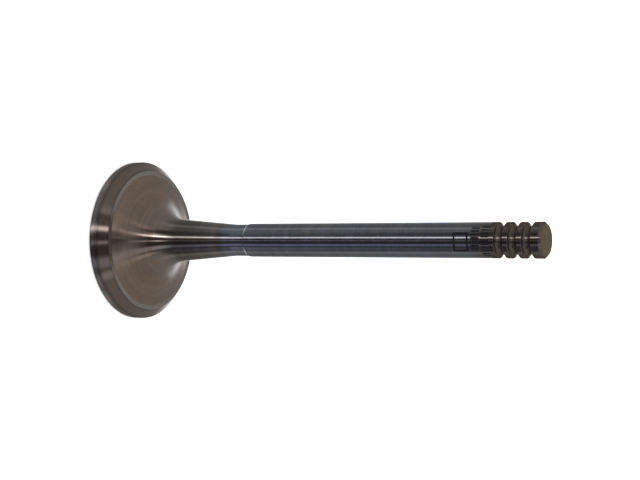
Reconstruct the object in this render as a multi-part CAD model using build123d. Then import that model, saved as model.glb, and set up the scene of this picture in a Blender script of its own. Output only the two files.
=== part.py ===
from build123d import *
import math
import os

# A one-piece poppet valve, in millimetres. Its combustion face lies in the plane Z = 0 with
# the origin at its centre, and its stem runs up the Z axis to the tip.

# Overall sizes
head_diameter = 38.7
valve_length = 107.75
stem_diameter = 7.97

# Head, from the combustion face up: edge break, cylindrical margin, seat cone, narrow land that
# falls slightly towards the axis, and underhead. Angles are in degrees from the head's plane.
face_edge_break = 0.3
margin_height = 2.1
seat_width = 2.97
seat_angle = 45.0
land_width = 1.1
land_angle = -3.0
underhead_angle = 10.0
underhead_radius = 10.66

# Neck: a slim taper that runs out into a straight part, relieved below the stem's size, and
# a short shoulder that leads up to the ground stem. The taper is in degrees on each side.
neck_taper = 4.8
neck_relief = 0.18
relief_length = 3.7
taper_blend_radius = 15.0
shoulder_height = 33.2
shoulder_length = 0.5

# Keeper end: round grooves for multi-bead keepers, and the hardened tip above them
groove_count = 3
groove_pitch = 3.18
groove_radius = 0.97
groove_depth = 0.9
groove_edge_break = 0.08
tip_to_groove = 3.32
tip_chamfer = 0.5

head_radius = head_diameter / 2
stem_radius = stem_diameter / 2
neck_radius = stem_radius - neck_relief
groove_heights = [
    valve_length - tip_to_groove - index * groove_pitch for index in range(groove_count)
]


def direction(degrees):
    """Unit vector in the half section, towards the axis and up from the plane of the head."""
    angle = math.radians(degrees)
    return Vector(-math.cos(angle), math.sin(angle))


def head_and_neck():
    """Line from the top of the margin to the shoulder: seat, land, underhead blend, neck."""
    margin_top = Vector(head_radius, margin_height)
    seat_top = margin_top + direction(seat_angle) * seat_width
    land_top = seat_top + direction(land_angle) * land_width
    taper_top = Vector(neck_radius, shoulder_height - relief_length)

    underhead = Axis(land_top, direction(underhead_angle))
    taper = Axis(taper_top, -direction(90 - neck_taper))
    root = underhead.intersect(taper)

    seat = Polyline(margin_top, seat_top, land_top)
    blend = FilletPolyline(
        land_top,
        root,
        taper_top,
        (neck_radius, shoulder_height),
        radius=(underhead_radius, taper_blend_radius),
    )
    return seat + blend


def stem_and_tip():
    """Line from the shoulder up the ground stem, over the tip's chamfer to the axis."""
    return Polyline(
        (neck_radius, shoulder_height),
        (stem_radius, shoulder_height + shoulder_length),
        (stem_radius, valve_length - tip_chamfer),
        (stem_radius - tip_chamfer, valve_length),
        (0, valve_length),
    )


def face_and_margin():
    """Line down the axis, across the combustion face and up the margin."""
    return Polyline(
        (0, valve_length),
        (0, 0),
        (head_radius - face_edge_break, 0),
        (head_radius, face_edge_break),
        (head_radius, margin_height),
    )


def half_section():
    """Half section of the whole valve, with the keeper grooves and their broken edges."""
    blank = make_face(head_and_neck() + stem_and_tip() + face_and_margin())
    groove_centre = stem_radius + groove_radius - groove_depth
    grooves = [Pos(groove_centre, height) * Circle(groove_radius) for height in groove_heights]
    grooved = blank - grooves
    half_opening = math.sqrt(groove_radius**2 - (groove_radius - groove_depth) ** 2)
    corners = [
        vertex
        for vertex in grooved.vertices()
        for height in groove_heights
        if math.isclose(abs(vertex.Y - height), half_opening, abs_tol=1e-6)
    ]
    return chamfer(corners, groove_edge_break)


engine_valve = revolve(Plane.XZ * half_section(), Axis.Z)
engine_valve.label = "engine_valve"

os.makedirs("parts", exist_ok=True)
export_step(engine_valve, "parts/engine_valve.step")
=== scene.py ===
"""Looks of the engine valve: a finely turned surface over the CAD solid, its steel finishes,
and a studio tuned to the photograph, with the camera at the photograph's angle."""

import math

import bpy
from mathutils import Matrix, Vector


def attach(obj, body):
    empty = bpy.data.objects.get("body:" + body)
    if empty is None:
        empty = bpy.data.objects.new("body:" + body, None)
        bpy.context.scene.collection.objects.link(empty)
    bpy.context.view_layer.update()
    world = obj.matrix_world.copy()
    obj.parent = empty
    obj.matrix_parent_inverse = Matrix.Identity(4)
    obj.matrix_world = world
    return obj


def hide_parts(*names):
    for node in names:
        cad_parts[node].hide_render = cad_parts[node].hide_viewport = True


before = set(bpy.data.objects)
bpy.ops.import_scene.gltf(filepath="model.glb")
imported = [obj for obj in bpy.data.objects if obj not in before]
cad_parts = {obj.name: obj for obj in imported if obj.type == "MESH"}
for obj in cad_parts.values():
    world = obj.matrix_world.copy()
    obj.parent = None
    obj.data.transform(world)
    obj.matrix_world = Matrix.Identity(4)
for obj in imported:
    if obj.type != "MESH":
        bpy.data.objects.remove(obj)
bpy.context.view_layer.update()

MM = 0.001

# Sizes of the valve, in millimetres, as in the part's own source
HEAD_RADIUS = 19.35
FACE_EDGE_BREAK = 0.3
MARGIN_HEIGHT = 2.1
SEAT_WIDTH = 2.97
SEAT_ANGLE = 45.0
LAND_WIDTH = 1.1
LAND_ANGLE = -3.0
UNDERHEAD_ANGLE = 10.0
UNDERHEAD_RADIUS = 10.66
NECK_TAPER = 4.8
NECK_RELIEF = 0.18
RELIEF_LENGTH = 3.7
TAPER_BLEND_RADIUS = 15.0
SHOULDER_HEIGHT = 33.2
SHOULDER_LENGTH = 0.5
STEM_RADIUS = 3.985
VALVE_LENGTH = 107.75
GROOVE_COUNT = 3
GROOVE_PITCH = 3.18
GROOVE_RADIUS = 0.97
GROOVE_DEPTH = 0.9
GROOVE_EDGE_BREAK = 0.08
TIP_TO_GROOVE = 3.32
TIP_CHAMFER = 0.5

# Finish of the surface
EDGE_ROUND = 0.06        # radius left on the turned edges
EDGE_GUARD = 0.05        # narrow ring beside each edge, which keeps the faces next to it true
ARC_STEP = 0.35          # longest facet along an arc of the outline
GROOVE_STEP = ARC_STEP / 3    # longest facet along a keeper groove
LINE_STEP = 1.2          # longest facet along a straight run of the outline
PRINT_STEP = 0.12        # longest facet along the printed stretch of the stem
SEGMENTS = 256           # facets round the valve
FACE_DEPTH = 0.001       # faces lower than this belong to the combustion face
GROOVE_SINK = 0.016      # faces sunk deeper than this into the stem belong to a keeper groove
RINGS_TO = 7.0           # the coarse turned rings are at full strength up to here
RINGS_GONE = 11.0        # and are gone here
GROUND_FROM = 28.0       # the blue-grey ground finish begins here on the neck
GROUND_FADE = 0.6        # over so much to either side
GROUND_TO = 95.9         # and it ends here, just short of the keeper grooves

# Plain printed marks near the keeper end: an open frame and two rows of ticks. Heights are in
# millimetres, and bearings and pitches in degrees round the stem from the side that faces the
# camera.
PRINT_FRAME = ((87.7, 91.2), (-25.0, 38.6))
PRINT_LINE = (0.45, 7.5)
PRINT_ROWS = (((91.9, 93.8), (-44.0, 38.6)), ((94.2, 96.0), (-48.6, 64.0)))
TICK_PITCH = 11.5
TICK_SHARE = 0.55

# Camera, in the valve's frame, in millimetres and degrees. It is rolled by a quarter turn, so
# the stem points right.
CAMERA_BACK = 288.39
CAMERA_SIDE = -0.04
CAMERA_HEIGHT = 217.26
CAMERA_PITCH = 29.77
FOCAL_LENGTH = 80.69
SENSOR_WIDTH = 36.0


# ---------------------------------------------------------------- outline and mesh

def direction(degrees):
    """Unit vector in the half section, towards the axis and up from the plane of the head."""
    angle = math.radians(degrees)
    return Vector((-math.cos(angle), math.sin(angle)))


def rounded(before, corner, after, radius):
    """Arc that rounds a corner of the outline, with a guard point on the run at either end."""
    to_before = (before - corner).normalized()
    to_after = (after - corner).normalized()
    half_angle = to_before.angle(to_after) / 2
    reach = radius / math.tan(half_angle)
    centre = corner + (to_before + to_after).normalized() * radius / math.sin(half_angle)
    start = corner + to_before * reach - centre
    end = corner + to_after * reach - centre
    turn = start.angle_signed(end)
    steps = max(2, math.ceil(abs(turn) * radius / ARC_STEP))
    points = [centre + start + to_before * EDGE_GUARD]
    for step in range(steps + 1):
        part = start.copy()
        part.rotate(Matrix.Rotation(-turn * step / steps, 2))
        points.append(centre + part)
    points.append(centre + end + to_after * EDGE_GUARD)
    return points


def keeper_groove(height):
    """Points of one keeper groove, from its lower edge to its upper one, with broken edges."""
    sunk = GROOVE_RADIUS - GROOVE_DEPTH
    half_opening = math.sqrt(GROOVE_RADIUS**2 - sunk**2)
    half_turn = math.asin(half_opening / GROOVE_RADIUS)
    steps = math.ceil(2 * half_turn * GROOVE_RADIUS / GROOVE_STEP)
    half_width = half_opening + GROOVE_EDGE_BREAK
    points = [
        Vector((STEM_RADIUS, height - half_width - EDGE_GUARD)),
        Vector((STEM_RADIUS, height - half_width)),
    ]
    for step in range(1, steps):
        angle = half_turn * (2 * step / steps - 1)
        points.append(
            Vector(
                (
                    STEM_RADIUS + sunk - GROOVE_RADIUS * math.cos(angle),
                    height + GROOVE_RADIUS * math.sin(angle),
                )
            )
        )
    points.append(Vector((STEM_RADIUS, height + half_width)))
    points.append(Vector((STEM_RADIUS, height + half_width + EDGE_GUARD)))
    return points


def outline():
    """Half outline from the centre of the combustion face round to the centre of the tip."""
    margin_top = Vector((HEAD_RADIUS, MARGIN_HEIGHT))
    seat_top = margin_top + direction(SEAT_ANGLE) * SEAT_WIDTH
    land_top = seat_top + direction(LAND_ANGLE) * LAND_WIDTH
    neck_radius = STEM_RADIUS - NECK_RELIEF
    taper_top = Vector((neck_radius, SHOULDER_HEIGHT - RELIEF_LENGTH))

    rise = math.tan(math.radians(UNDERHEAD_ANGLE))
    lean = math.tan(math.radians(NECK_TAPER))
    root_radius = neck_radius + (taper_top.y - land_top.y - land_top.x * rise) * lean
    root_radius /= 1 - rise * lean
    root = Vector((root_radius, land_top.y + (land_top.x - root_radius) * rise))

    corners = [
        (Vector((0, 0)), 0),
        (Vector((HEAD_RADIUS - FACE_EDGE_BREAK, 0)), EDGE_ROUND),
        (Vector((HEAD_RADIUS, FACE_EDGE_BREAK)), EDGE_ROUND),
        (margin_top, EDGE_ROUND),
        (seat_top, EDGE_ROUND),
        (land_top, EDGE_ROUND),
        (root, UNDERHEAD_RADIUS),
        (taper_top, TAPER_BLEND_RADIUS),
        (Vector((neck_radius, SHOULDER_HEIGHT)), EDGE_ROUND),
        (Vector((STEM_RADIUS, SHOULDER_HEIGHT + SHOULDER_LENGTH)), EDGE_ROUND),
        (Vector((STEM_RADIUS, VALVE_LENGTH - TIP_CHAMFER)), EDGE_ROUND),
        (Vector((STEM_RADIUS - TIP_CHAMFER, VALVE_LENGTH)), EDGE_ROUND),
        (Vector((0, VALVE_LENGTH)), 0),
    ]
    tip_chamfer_start = len(corners) - 3
    points = []
    for index, (corner, radius) in enumerate(corners):
        if radius == 0:
            points.append(corner)
            continue
        if index == tip_chamfer_start:
            for groove in reversed(range(GROOVE_COUNT)):
                points += keeper_groove(VALVE_LENGTH - TIP_TO_GROOVE - groove * GROOVE_PITCH)
        points += rounded(corners[index - 1][0], corner, corners[index + 1][0], radius)
    return points


def divided(points):
    """The outline with its long straight runs divided."""
    fine = [points[0]]
    for point in points[1:]:
        last = fine[-1]
        pieces = max(1, math.ceil((point - last).length / LINE_STEP))
        for piece in range(1, pieces + 1):
            stop = last.lerp(point, piece / pieces)
            start = fine[-1]
            printed_on = start.y < PRINT_ROWS[-1][0][1] and stop.y > PRINT_FRAME[0][0]
            if printed_on and abs(stop.x - STEM_RADIUS) < EDGE_ROUND:
                bands = math.ceil((stop - start).length / PRINT_STEP)
                fine += [start.lerp(stop, band / bands) for band in range(1, bands)]
            fine.append(stop)
    return fine


def unroll(mesh, points):
    """Texture map that lays the surface out flat: round the valve, and along its outline."""
    along = [0.0]
    for before, after in zip(points, points[1:]):
        along.append(along[-1] + (after - before).length)
    places = mesh.uv_layers.new(name="OFBake").data
    for index, face in enumerate(mesh.polygons):
        segment = index % SEGMENTS
        for corner in face.loop_indices:
            vertex = mesh.loops[corner].vertex_index
            ring, step = divmod(vertex - 1, SEGMENTS)
            if ring in (-1, len(points) - 2):
                step = segment + 0.5
            elif segment == SEGMENTS - 1 and step == 0:
                step = SEGMENTS
            places[corner].uv = (step / SEGMENTS, along[ring + 1] / along[-1])


def lathe(name, points, pick_finish):
    """Mesh object turned from the outline. pick_finish gives each face its material's index."""
    vertices = [(0, 0, points[0].y * MM)]
    for point in points[1:-1]:
        for segment in range(SEGMENTS):
            angle = 2 * math.pi * segment / SEGMENTS
            vertices.append(
                (point.x * math.cos(angle) * MM, point.x * math.sin(angle) * MM, point.y * MM)
            )
    vertices.append((0, 0, points[-1].y * MM))
    faces = []
    finishes = []
    last_ring = len(points) - 3
    for ring in range(-1, last_ring + 1):
        middle = (points[ring + 1] + points[ring + 2]) / 2
        for segment in range(SEGMENTS):
            following = (segment + 1) % SEGMENTS
            low = 1 + ring * SEGMENTS
            high = low + SEGMENTS
            if ring == -1:
                faces.append((0, high + following, high + segment))
            elif ring == last_ring:
                faces.append((low + segment, low + following, len(vertices) - 1))
            else:
                faces.append((low + segment, low + following, high + following, high + segment))
            angle = 2 * math.pi * (segment + 0.5) / SEGMENTS
            finishes.append(pick_finish(middle.x, middle.y, angle))
    mesh = bpy.data.meshes.new(name)
    mesh.from_pydata(vertices, [], faces)
    mesh.polygons.foreach_set("material_index", finishes)
    mesh.shade_smooth()
    unroll(mesh, points)
    piece = bpy.data.objects.new(name, mesh)
    bpy.context.scene.collection.objects.link(piece)
    return piece


# ---------------------------------------------------------------- finishes

class Nodes:
    """Short calls that add and link the nodes of a material or world."""

    def __init__(self, tree):
        self.nodes = tree.nodes
        self.links = tree.links

    def put(self, socket, value):
        """Set a socket to a value, or link it to another node's output."""
        if isinstance(value, bpy.types.NodeSocket):
            self.links.new(value, socket)
        else:
            socket.default_value = value

    def add(self, kind, settings=None, **inputs):
        """A new node, with its settings and the inputs named by their sockets."""
        node = self.nodes.new(kind)
        for name, value in (settings or {}).items():
            setattr(node, name, value)
        for name, value in inputs.items():
            self.put(node.inputs[name.replace("_", " ")], value)
        return node

    def math(self, operation, *values):
        node = self.add("ShaderNodeMath", {"operation": operation})
        for socket, value in zip(node.inputs, values):
            self.put(socket, value)
        return node.outputs[0]

    def vector(self, operation, *values):
        node = self.add("ShaderNodeVectorMath", {"operation": operation})
        for socket, value in zip(node.inputs, values):
            self.put(socket, value)
        return node.outputs[0]

    def mix(self, kind, amount, first, second):
        """Between first and second, where kind is FLOAT or RGBA."""
        node = self.add("ShaderNodeMix", {"data_type": kind})
        for socket in node.inputs:
            if socket.name == "Factor" and socket.type == "VALUE" and socket.enabled:
                self.put(socket, amount)
            if socket.name == "A" and socket.enabled:
                self.put(socket, first)
            if socket.name == "B" and socket.enabled:
                self.put(socket, second)
        return next(output for output in node.outputs if output.enabled)

    def ramp(self, value, low, high, low_result=0.0, high_result=1.0):
        """Smooth step of a value from one result to another."""
        node = self.add(
            "ShaderNodeMapRange",
            {"interpolation_type": "SMOOTHSTEP"},
            Value=value,
            From_Min=low,
            From_Max=high,
            To_Min=low_result,
            To_Max=high_result,
        )
        return node.outputs["Result"]

    def steps(self, value, first, *stops):
        """Level that eases from each stop to the next. A stop is a place and its level."""
        place, level = first
        result = level
        for next_place, next_level in stops:
            rise = self.ramp(value, place, next_place, 0.0, next_level - level)
            result = self.math("ADD", result, rise)
            place, level = next_place, next_level
        return result

    def shades(self, value, first, *stops):
        """Colour that eases from each stop to the next. A stop is a place and its colour."""
        place, shade = first
        result = (*shade, 1)
        for next_place, next_shade in stops:
            result = self.mix("RGBA", self.ramp(value, place, next_place), result, (*next_shade, 1))
            place = next_place
        return result

    def split(self, vector):
        return self.add("ShaderNodeSeparateXYZ", Vector=vector).outputs

    def join(self, x, y, z):
        return self.add("ShaderNodeCombineXYZ", X=x, Y=y, Z=z).outputs[0]


class Finish(Nodes):
    """A steel finish under construction, in the valve's own coordinates."""

    def __init__(self, name, grain):
        self.material = bpy.data.materials.new(name)
        self.material.use_nodes = True
        super().__init__(self.material.node_tree)
        self.shader = self.nodes["Principled BSDF"]
        self.shader.inputs["Metallic"].default_value = 1.0
        self.shader.inputs["Anisotropic"].default_value = grain
        self.shader.inputs["Anisotropic Rotation"].default_value = 0.25
        tangent = self.add("ShaderNodeTangent", {"direction_type": "RADIAL", "axis": "Z"})
        self.put(self.shader.inputs["Tangent"], tangent.outputs[0])

        x, y, self.height = self.split(self.add("ShaderNodeTexCoord").outputs["Object"])
        flat = self.join(x, y, 0.0)
        radius = self.add("ShaderNodeVectorMath", {"operation": "LENGTH"}, Vector=flat)
        self.around = self.split(self.vector("NORMALIZE", flat))
        self.along = self.math("SUBTRACT", self.height, radius.outputs["Value"])

    def noise(self, place, scale):
        """Soft noise of 0 to 1, whose output has two names in Blender's versions."""
        node = self.add("ShaderNodeTexNoise", Vector=place, Scale=scale, Detail=2.0)
        return node.outputs["Factor" if "Factor" in node.outputs else "Fac"]

    def marks(self, spacing, sweep):
        """Noise of 0 to 1 drawn out round the axis, in rings that lie spacing apart."""
        place = self.join(
            self.math("MULTIPLY", self.around[0], sweep),
            self.math("MULTIPLY", self.around[1], sweep),
            self.math("DIVIDE", self.along, spacing * MM),
        )
        return self.noise(place, 1.0)

    def follow(self, marks, low, high):
        """Value that goes from low to high with the marks."""
        return self.ramp(marks, 0.3, 0.7, low, high)

    def mottled(self, colour, size, swing):
        """The colour with soft patches of so many millimetres, some warmer and some cooler."""
        place = self.add("ShaderNodeTexCoord").outputs["Object"]
        patches = self.noise(place, 1 / (size * MM))
        warm = (1 + swing, 1.0, 1 - swing, 1)
        cool = (1 - swing, 1.0, 1 + swing, 1)
        tint = self.mix("RGBA", self.ramp(patches, 0.35, 0.65), warm, cool)
        return self.vector("MULTIPLY", colour, tint)

    def by_height(self, *stops):
        """Colour by height, where a stop is a height in millimetres and its colour."""
        return self.shades(self.height, *((height * MM, shade) for height, shade in stops))

    def toned(self, colour, marks, swing):
        """The colour made lighter and darker by marks, up to a share of itself."""
        tone = self.follow(marks, 1 - swing, 1 + swing)
        return self.vector("MULTIPLY", colour, self.join(tone, tone, tone))

    def set(self, colour, roughness, relief, depth):
        """Link the colour, the roughness and a relief of so many millimetres."""
        self.put(self.shader.inputs["Base Color"], colour)
        self.put(self.shader.inputs["Roughness"], roughness)
        bump = self.add("ShaderNodeBump", Height=relief, Distance=depth * MM, Strength=1.0)
        self.put(self.shader.inputs["Normal"], bump.outputs["Normal"])


# Colours of the body from the underhead to the keeper end, by height in millimetres: brown on
# the turned head, patchy on the neck, and blue-grey from the runout of the stem's grinding on.
# They were tuned to the photograph under the studio below and are partly painted light and shade:
# the lighter band next to the land, the darker neck from 15 to 18 and the lighter from 22 to 25.
BODY_COLOURS_AND_PAINTED_LIGHT = (
    (4.9, (0.42, 0.315, 0.245)),
    (5.5, (0.385, 0.288, 0.222)),
    (8.0, (0.385, 0.3, 0.25)),
    (11.0, (0.41, 0.35, 0.305)),
    (13.0, (0.39, 0.35, 0.305)),
    (15.0, (0.305, 0.272, 0.24)),
    (18.0, (0.305, 0.28, 0.25)),
    (22.0, (0.385, 0.36, 0.33)),
    (25.0, (0.445, 0.39, 0.355)),
    (27.0, (0.37, 0.365, 0.38)),
    (28.5, (0.43, 0.475, 0.555)),
    (30.5, (0.46, 0.51, 0.58)),
    (33.2, (0.44, 0.48, 0.56)),
    (34.5, (0.39, 0.435, 0.5)),
    (38.0, (0.365, 0.405, 0.455)),
    (55.0, (0.385, 0.425, 0.465)),
    (70.0, (0.36, 0.392, 0.435)),
    (90.0, (0.34, 0.365, 0.4)),
    (95.5, (0.28, 0.26, 0.245)),
)


def body_finish():
    """Brown turned underhead, a patchy neck and the blue-grey ground stem, partly painted light and
    shade by height.
    """
    finish = Finish("turned_and_ground_steel", 1.0)
    coarse = finish.marks(1.3, 0.5)
    fine = finish.marks(0.3, 1.2)
    ground_starts = (GROUND_FROM - GROUND_FADE) * MM
    ground_is_full = (GROUND_FROM + GROUND_FADE) * MM
    ground = finish.ramp(finish.height, ground_starts, ground_is_full)
    rings = finish.marks(0.6, 0.3)
    on_head = finish.ramp(finish.height, RINGS_GONE * MM, RINGS_TO * MM)
    # the colours by height are partly painted light and shade
    colour = finish.toned(finish.by_height(*BODY_COLOURS_AND_PAINTED_LIGHT), coarse, 0.05)
    colour = finish.toned(colour, fine, 0.03)
    colour = finish.mix("RGBA", on_head, colour, finish.toned(colour, rings, 0.045))
    colour = finish.mottled(colour, 4.0, 0.03)
    turned = finish.follow(coarse, 0.17, 0.2)
    roughness = finish.mix("FLOAT", ground, turned, finish.follow(fine, 0.17, 0.19))
    relief = finish.mix("FLOAT", ground, rings, finish.math("MULTIPLY", fine, 0.05))
    finish.set(colour, roughness, relief, 0.004)
    return finish.material


def seat_finish():
    """Finely ground seat cone with a purple-brown tint, and painted shade along both its edges."""
    finish = Finish("ground_seat", 0.9)
    fine = finish.marks(0.3, 1.2)
    plain = (0.3, 0.238, 0.2)
    # painted shade: the seat's colour is darker along both its edges
    painted_shade = (0.21, 0.165, 0.145)
    colour = finish.by_height((2.15, painted_shade), (2.7, plain), (3.9, plain), (4.15, painted_shade))
    colour = finish.toned(colour, fine, 0.06)
    finish.set(colour, finish.follow(fine, 0.15, 0.17), fine, 0.0004)
    return finish.material


def land_finish():
    """Turned land between the seat and the underhead, lighter and duller than both."""
    finish = Finish("turned_land", 0.0)
    fine = finish.marks(0.3, 1.2)
    colour = finish.toned((0.39, 0.322, 0.265), fine, 0.05)
    finish.set(colour, finish.follow(fine, 0.34, 0.4), fine, 0.0008)
    return finish.material


def margin_finish():
    """Turned margin and edge break, with a painted highlight band in its lower half and painted shade
    towards both its ends.
    """
    finish = Finish("turned_margin", 0.9)
    fine = finish.marks(0.3, 1.2)
    # painted shade at both ends of the margin, and a painted highlight band in the light colour between
    # them
    painted_shade = (0.33, 0.29, 0.25)
    light = (0.47, 0.44, 0.4)
    colour = finish.by_height((0.2, painted_shade), (0.7, light), (1.1, light), (1.9, painted_shade))
    colour = finish.toned(colour, fine, 0.06)
    finish.set(colour, finish.follow(fine, 0.22, 0.26), fine, 0.0008)
    return finish.material


def ink_finish():
    """Matt black ink of the printed marks."""
    finish = Finish("black_ink", 0.0)
    finish.shader.inputs["Metallic"].default_value = 0.0
    finish.shader.inputs["Specular IOR Level"].default_value = 0.2
    patches = finish.marks(0.5, 2.0)
    colour = finish.mix("RGBA", patches, (0.003, 0.003, 0.004, 1), (0.008, 0.008, 0.01, 1))
    finish.set(colour, finish.follow(patches, 0.45, 0.6), patches, 0.001)
    return finish.material


def keeper_finish(name, grain, colour, roughness):
    """Duller brown end of the stem: the lands between the keeper grooves, or the grooves."""
    finish = Finish(name, grain)
    finish.shader.inputs["Specular Tint"].default_value = (0.45, 0.4, 0.36, 1)
    fine = finish.marks(0.25, 1.2)
    lighter = tuple(1.2 * channel for channel in colour)
    tint = finish.mix("RGBA", fine, (*colour, 1), (*lighter, 1))
    finish.set(tint, finish.follow(fine, roughness, roughness + 0.06), fine, 0.001)
    return finish.material


def face_finish(name, spacing, colour):
    """Faced end with rings of tool marks."""
    finish = Finish(name, 0.6)
    finish.shader.inputs["Specular Tint"].default_value = (0.7, 0.63, 0.48, 1)
    rings = finish.marks(spacing, 0.6)
    colour = finish.toned(colour, rings, 0.15)
    finish.set(colour, finish.follow(rings, 0.42, 0.56), rings, 0.003)
    return finish.material


FINISHES = {
    "combustion_face": lambda: face_finish("faced_combustion_face", 0.4, (0.3, 0.238, 0.19)),
    "margin": margin_finish,
    "seat": seat_finish,
    "land": land_finish,
    "body": body_finish,
    "keeper_land": lambda: keeper_finish("ground_keeper_end", 1.0, (0.235, 0.198, 0.18), 0.15),
    "keeper_groove": lambda: keeper_finish("turned_grooves", 0.6, (0.21, 0.175, 0.15), 0.26),
    "tip_face": lambda: face_finish("ground_tip_face", 0.15, (0.255, 0.185, 0.135)),
    "ink": ink_finish,
}


def within(value, span):
    return span[0] <= value <= span[1]


def printed(height, bearing):
    """Whether a place on the stem lies on one of the printed marks."""
    heights, bearings = PRINT_FRAME
    if within(height, heights) and within(bearing, bearings):
        edge = min(height - heights[0], heights[1] - height)
        side = min(bearing - bearings[0], bearings[1] - bearing)
        return edge < PRINT_LINE[0] or side < PRINT_LINE[1]
    for heights, bearings in PRINT_ROWS:
        if within(height, heights) and within(bearing, bearings):
            return (bearing - bearings[0]) / TICK_PITCH % 1 < TICK_SHARE
    return False


def finish_of(radius, height, angle):
    """Index of the finish at a place on the surface."""
    seat_slope = math.radians(SEAT_ANGLE)
    seat_top_radius = HEAD_RADIUS - SEAT_WIDTH * math.cos(seat_slope)
    land_top_radius = seat_top_radius - LAND_WIDTH * math.cos(math.radians(LAND_ANGLE))
    bearing = math.degrees(angle - 1.5 * math.pi)
    if height < FACE_DEPTH:
        name = "combustion_face"
    elif height < MARGIN_HEIGHT:
        name = "margin"
    elif radius > seat_top_radius:
        name = "seat"
    elif radius > land_top_radius:
        name = "land"
    elif height < GROUND_TO:
        name = "ink" if printed(height, bearing) else "body"
    elif height > VALVE_LENGTH - TIP_CHAMFER / 2:
        name = "tip_face"
    elif height < VALVE_LENGTH - TIP_CHAMFER and radius < STEM_RADIUS - GROOVE_SINK:
        name = "keeper_groove"
    else:
        name = "ink" if printed(height, bearing) else "keeper_land"
    return list(FINISHES).index(name)


# ---------------------------------------------------------------- studio

# The studio as the valve's metal mirrors it. A place in it is named by the way a surface has to
# face to show it to the photograph's camera: the bearing round the valve, with 0 towards the
# camera, and the lean, with 0 for a flat surface and 90 for an upright one, both in degrees.
# Each card has the bearing of its middle, its half width, the softness of its edges, its tint,
# and how its strength eases from one lean to the next. A strength below zero darkens. All of it
# was tuned against the photograph's measured levels, so it suits that one view, and it
# isn't a plain studio.
CARDS = (
    (-24.0, 1.5, 5.0, (1.0, 1.0, 1.0), ((30, 0.07), (45, 0.12), (62, 0.0))),
    (-22.0, 1.0, 2.5, (1.0, 1.0, 1.0), ((34, 0.0), (42, 0.1), (52, 0.08), (62, 0.0))),
    (-15.5, 1.0, 3.0, (1.0, 1.0, 1.0), ((20, 0.0), (38, 0.08), (66, 0.1), (74, 0.02), (88, 0.0))),
    (-13.0, 0.5, 1.6, (1.0, 1.0, 1.0), ((50, 0.0), (61, 1.3), (69, 0.25), (82, 0.15), (86, 0.0))),
    (-10.2, 0.6, 2.2, (1.0, 1.0, 1.1), ((8, 1.7), (20, 0.2), (36, 0.25), (42, 0.15), (46, 0.0))),
    (-8.9, 0.5, 2.0, (1.0, 1.0, 1.06),
     ((30, 0.0), (38, 0.5), (45, 2.25), (52, 1.7), (62, 5.3), (70, 4.3), (80, 2.0), (86, 0.0))),
    (-8.8, 0.5, 2.0, (1.15, 1.0, 0.97), ((80, 0.0), (86, 1.25))),
    (-5.3, 0.6, 2.0, (1.1, 1.0, 1.0), ((74, 0.0), (80, 0.45), (84, 0.3), (87, -0.03))),
    (-2.6, 1.4, 2.6, (1.0, 1.0, 1.0), ((4, 0.2), (12, -0.04), (20, -0.08), (30, -0.1), (48, 0.0))),
    (-2.0, 2.0, 2.0, (1.0, 0.1, 0.1), ((45, 0.0), (60, 0.02), (82, 0.02), (86, 0.0))),
    (1.8, 0.4, 1.4, (1.0, 0.97, 1.1),
     ((4, 0.8), (12, 0.1), (20, 0.02), (38, 0.08), (45, 0.6), (52, 0.35), (58, 0.6), (66, 1.75),
      (72, 0.15), (80, 0.17), (87, 0.06), (91, 0.45))),
    (6.0, 1.0, 3.0, (1.0, 1.0, 0.9), ((4, 0.3), (12, -0.02), (20, -0.05), (30, -0.05), (48, 0.0))),
    (17.6, 2.2, 4.2, (0.95, 1.0, 1.2), ((25, 0.12), (50, 0.34), (70, 0.42), (80, 0.0))),
    (16.8, 1.8, 3.2, (0.98, 1.0, 1.4), ((72, 0.0), (80, 0.18), (84, 0.13), (87, 0.16))),
    (22.5, 1.5, 4.0, (0.98, 1.0, 1.3), ((83, 0.0), (86, 0.05))),
    (27.5, 1.0, 4.0, (1.0, 1.0, 1.0), ((25, 0.14), (45, 0.3), (65, 0.08), (75, 0.0))),
    (31.5, 3.0, 4.5, (1.0, 1.0, 1.2), ((80, 0.0), (84, 0.05), (87, 0.15), (91, 0.24))),
    (-18.0, 3.0, 5.0, (1.0, 1.0, 1.0), ((84, 0.0), (87, 0.05), (90, 0.15))),
    (-43.5, 1.5, 5.0, (1.0, 1.0, 1.0), ((58, 0.0), (70, 0.06), (80, 0.17), (86, 0.15), (91, 0.05))),
    (48.5, 3.0, 6.0, (1.0, 1.0, 1.0), ((58, 0.0), (70, 0.09), (80, 0.13), (86, 0.075), (91, 0.02))),
    (-57.0, 2.0, 7.0, (1.0, 1.0, 1.0), ((66, 0.0), (72, -0.04), (86, -0.02))),
    (62.0, 8.0, 7.0, (1.0, 1.0, 1.0), ((83, 0.0), (86, -0.045))),
    (-150.0, 30.0, 25.0, (0.2, 1.2, 2.1), ((8, 0.04), (20, 0.01), (32, 0.0))),
    (150.0, 30.0, 25.0, (0.2, 1.2, 2.1), ((8, 0.04), (20, 0.01), (32, 0.0))),
    (-180.0, 14.0, 20.0, (1.0, 1.0, 1.1), ((2, 0.6), (7, 0.0))),
    (180.0, 14.0, 20.0, (1.0, 1.0, 1.1), ((2, 0.6), (7, 0.0))),
    (0.0, 180.0, 1.0, (1.0, 1.0, 1.0), ((4, -0.15), (9, 0.0))),
)
VIEW_RISE = math.radians(37.5)      # about how high the camera stands as seen from the head
EVEN_LIGHT = (1.7, 1.7, 1.7, 1)     # what everything but a mirroring surface sees


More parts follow.
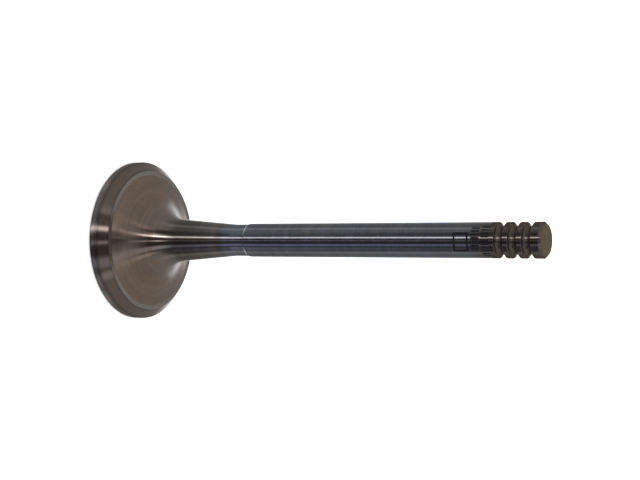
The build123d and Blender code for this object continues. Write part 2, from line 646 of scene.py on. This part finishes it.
def floor():
    """Plain white floor, a hair below the valve so that the two don't meet."""
    half = 3.0
    drop = 0.00002
    mesh = bpy.data.meshes.new("floor")
    corners = [(-half, -half, 0), (half, -half, 0), (half, half, 0), (-half, half, 0)]
    mesh.from_pydata(corners, [], [(0, 1, 2, 3)])
    piece = bpy.data.objects.new("floor", mesh)
    piece.location.z = -drop
    bpy.context.scene.collection.objects.link(piece)
    material = bpy.data.materials.new("pale_floor")
    material.use_nodes = True
    shader = material.node_tree.nodes["Principled BSDF"]
    shader.inputs["Base Color"].default_value = (0.93, 0.93, 0.93, 1)
    shader.inputs["Roughness"].default_value = 0.9
    shader.inputs["Specular IOR Level"].default_value = 0.0
    mesh.materials.append(material)
    piece.visible_glossy = False
    piece.visible_shadow = False


def facing_of(nodes):
    """Bearing and lean of the surface that mirrors a ray's direction to the camera."""
    ray = nodes.add("ShaderNodeTexCoord").outputs["Generated"]
    facing = nodes.vector("ADD", ray, (0.0, -math.cos(VIEW_RISE), math.sin(VIEW_RISE)))
    x, y, z = nodes.split(facing)
    bearing = nodes.math("DEGREES", nodes.math("ARCTAN2", x, nodes.math("MULTIPLY", y, -1.0)))
    level = nodes.add("ShaderNodeVectorMath", {"operation": "LENGTH"}, Vector=nodes.join(x, y, 0.0))
    lean = nodes.math("DEGREES", nodes.math("ARCTAN2", level.outputs["Value"], z))
    return bearing, lean


def room(nodes, bearing, lean):
    """Light of the walls, and of the dim front that lies between their two edges."""
    walls = nodes.steps(
        lean, (50, 0.3), (66, 0.27), (78, 0.195), (85, 0.16), (93, 0.16), (104, 0.8), (118, 0.4)
    )
    front = nodes.steps(lean, (4, 0.5), (14, 0.3), (27, 0.3), (52, 0.04), (80, 0.034))
    warm_grey = (1.1, 0.98, 1.0)
    blue_grey = (1.05, 1.0, 1.25)
    front_tint = nodes.shades(
        lean, (30, (0.95, 1.0, 1.13)), (50, warm_grey), (83, warm_grey), (87, blue_grey)
    )
    left_edge = nodes.steps(lean, (50, -20.8), (68, -26.0), (80, -27.0), (83, -26.5), (86, -21.8))
    right_edge = nodes.steps(
        lean, (55, 26.0), (64, 30.0), (74, 38.0), (82, 44.5), (84, 43.5), (87, 38.0)
    )
    left_softness = 4.0
    right_softness = 5.0
    past_left = nodes.math("SUBTRACT", bearing, left_edge)
    past_right = nodes.math("SUBTRACT", bearing, right_edge)
    left = nodes.ramp(past_left, left_softness, -left_softness)
    right = nodes.ramp(past_right, -right_softness, right_softness)
    front = nodes.add("ShaderNodeVectorMath", {"operation": "SCALE"}, Vector=front_tint, Scale=front)
    on_walls = nodes.math("ADD", left, right)
    return nodes.mix("RGBA", on_walls, front.outputs[0], nodes.join(walls, walls, walls))


def with_cards(nodes, bearing, lean, shine):
    """The light with that of every card added."""
    for middle, half_width, softness, tint, stops in CARDS:
        away = nodes.math("ABSOLUTE", nodes.math("SUBTRACT", bearing, middle))
        card = nodes.ramp(away, half_width, half_width + softness, 1.0, 0.0)
        strength = nodes.math("MULTIPLY", card, nodes.steps(lean, *stops))
        shine = nodes.vector("MULTIPLY_ADD", strength, tint, shine)
    return shine


def with_backdrop(nodes, bearing, lean, shine):
    """The light with the bright backdrop behind the valve laid over it."""
    edge = nodes.steps(lean, (4, 166.0), (30, 127.0), (45, 112.5), (60, 102.0), (80, 88.0), (86, 100.0))
    middle = nodes.ramp(lean, 62.0, 80.0, 0.0, 3.0)
    softness = 13.0
    from_middle = nodes.math("ABSOLUTE", nodes.math("SUBTRACT", bearing, middle))
    past_edge = nodes.math("SUBTRACT", from_middle, edge)
    off_the_flat = nodes.ramp(lean, 1.0, 9.0)
    behind = nodes.math("MULTIPLY", nodes.ramp(past_edge, -softness, softness), off_the_flat)
    backdrop = nodes.shades(
        lean, (36, (1.6, 1.84, 2.05)), (45, (1.05, 1.14, 1.2)), (54, (1.72, 1.82, 1.88))
    )
    return nodes.mix("RGBA", behind, shine, backdrop)


def studio_world():
    """Even white light for the floor, and for the metal the studio tuned to the photograph."""
    world = bpy.data.worlds.new("studio")
    world.use_nodes = True
    world.cycles.sampling_method = "NONE"
    bpy.context.scene.world = world
    nodes = Nodes(world.node_tree)
    bearing, lean = facing_of(nodes)
    shine = room(nodes, bearing, lean)
    shine = with_cards(nodes, bearing, lean, shine)
    shine = with_backdrop(nodes, bearing, lean, shine)
    mirrored = nodes.add("ShaderNodeLightPath").outputs["Is Glossy Ray"]
    light = nodes.mix("RGBA", mirrored, EVEN_LIGHT, shine)
    nodes.put(nodes.nodes["Background"].inputs["Color"], light)


def overhead_light():
    """Large soft box above the valve. It lights the floor and stays out of the reflections."""
    light = bpy.data.lights.new("overhead", "AREA")
    light.shape = "DISK"
    light.size = 1.2
    light.energy = 2.0
    lamp = bpy.data.objects.new("overhead", light)
    lamp.location = (0.0, 0.2, 1.4)
    lamp.visible_glossy = False
    bpy.context.scene.collection.objects.link(lamp)


def camera():
    """Camera at the photograph's viewing angle."""
    data = bpy.data.cameras.new("camera")
    data.lens = FOCAL_LENGTH
    data.sensor_width = SENSOR_WIDTH
    eye = bpy.data.objects.new("camera", data)
    pitch = math.radians(CAMERA_PITCH)
    right = Vector((0, math.sin(pitch), math.cos(pitch)))
    up = Vector((-1, 0, 0))
    back = right.cross(up)
    turn = Matrix((right, up, back)).transposed().to_4x4()
    place = Vector((CAMERA_SIDE, -CAMERA_BACK, CAMERA_HEIGHT))
    eye.matrix_world = Matrix.Translation(place * MM) @ turn
    bpy.context.scene.collection.objects.link(eye)
    bpy.context.scene.camera = eye


valve = lathe("turned_valve", divided(outline()), finish_of)
for make in FINISHES.values():
    valve.data.materials.append(make())
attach(valve, "root")
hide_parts("engine_valve")

floor()
studio_world()
overhead_light()
camera()
bpy.context.scene.view_settings.view_transform = "Standard"
